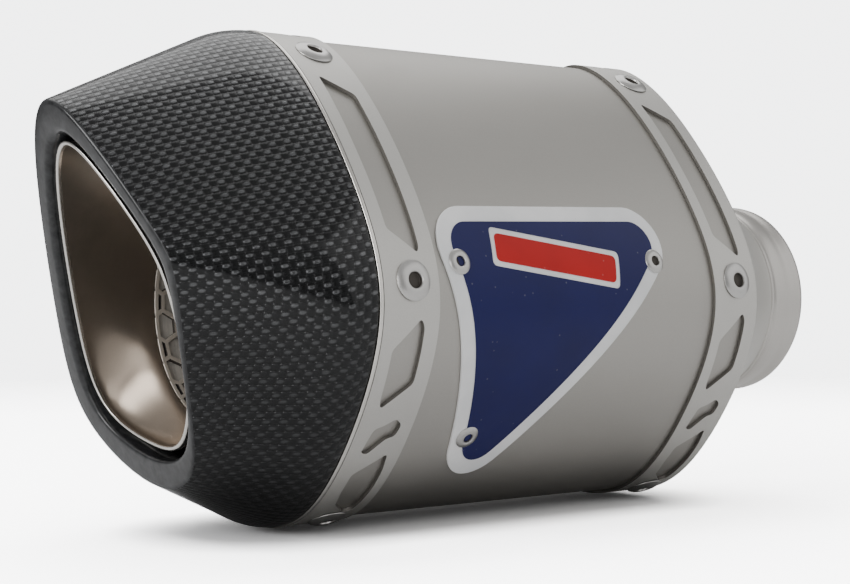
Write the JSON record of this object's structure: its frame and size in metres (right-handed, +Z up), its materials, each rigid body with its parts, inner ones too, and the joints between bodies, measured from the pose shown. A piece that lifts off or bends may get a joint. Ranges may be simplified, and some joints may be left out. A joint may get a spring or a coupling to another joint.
{
  "type": "motorcycle silencer",
  "caption": "Slip-on racing silencer: rounded four-corner metal sleeve, woven-fibre outlet cap, perforated core and round slip inlet, for quietening and guiding exhaust gas.",
  "frame": {"origin": "centre of the inlet collar's mouth", "axes": "+X out of the inlet along the slip bore, the outlet is at -X; -Y is the outer side with the riveted plate; +Z is up as the silencer is worn"},
  "size_m": [0.2289, 0.0988, 0.1271],
  "materials": {
    "sleeve_metal": "satin bead-blasted warm grey sheet with faint lengthwise streaks",
    "woven_fibre": "black plain weave with 2 mm tows under a clear gloss coat",
    "trim_metal": "bright cut sheet edge",
    "band_metal": "satin light grey sheet with laser-cut edges",
    "rivet_metal": "plain satin rivet metal",
    "seal_rubber": "matt black high temperature seal",
    "inner_metal": "plain mill finish sheet",
    "heated_metal": "polished sheet tinted bronze by heat",
    "steel_wool": "grey wire wool",
    "glass_mat": "yellow needled glass mat",
    "collar_metal": "turned satin metal",
    "plate_white": "white enamelled sheet",
    "enamel_blue": "dark blue gloss enamel",
    "enamel_red": "red gloss enamel",
    "hanger_metal": "folded plate, satin",
    "grommet_rubber": "black moulded rubber",
    "bush_steel": "turned steel"
  },
  "bodies": {
    "root": {"sleeve": "sleeve_metal", "outlet_cap": "woven_fibre", "outlet_trim": "trim_metal", "outlet_band": "band_metal", "outlet_band_rivets": "rivet_metal", "outlet_seal": "seal_rubber", "outlet_bulkhead": "inner_metal", "outlet_liner": "heated_metal", "core_tube": "heated_metal", "core_wrap": "steel_wool", "packing": "glass_mat", "inlet_cap": "band_metal", "inlet_band": "band_metal", "inlet_band_rivets": "rivet_metal", "inlet_seal": "seal_rubber", "inlet_collar": "collar_metal", "inlet_flare": "inner_metal", "badge_plate": "plate_white", "badge_field": "enamel_blue", "badge_stripe": "enamel_red", "badge_rivets": "rivet_metal", "hanger_bracket": "hanger_metal", "hanger_rivets": "rivet_metal", "hanger_grommet": "grommet_rubber", "hanger_bush": "bush_steel"}
  },
  "joints": []
}
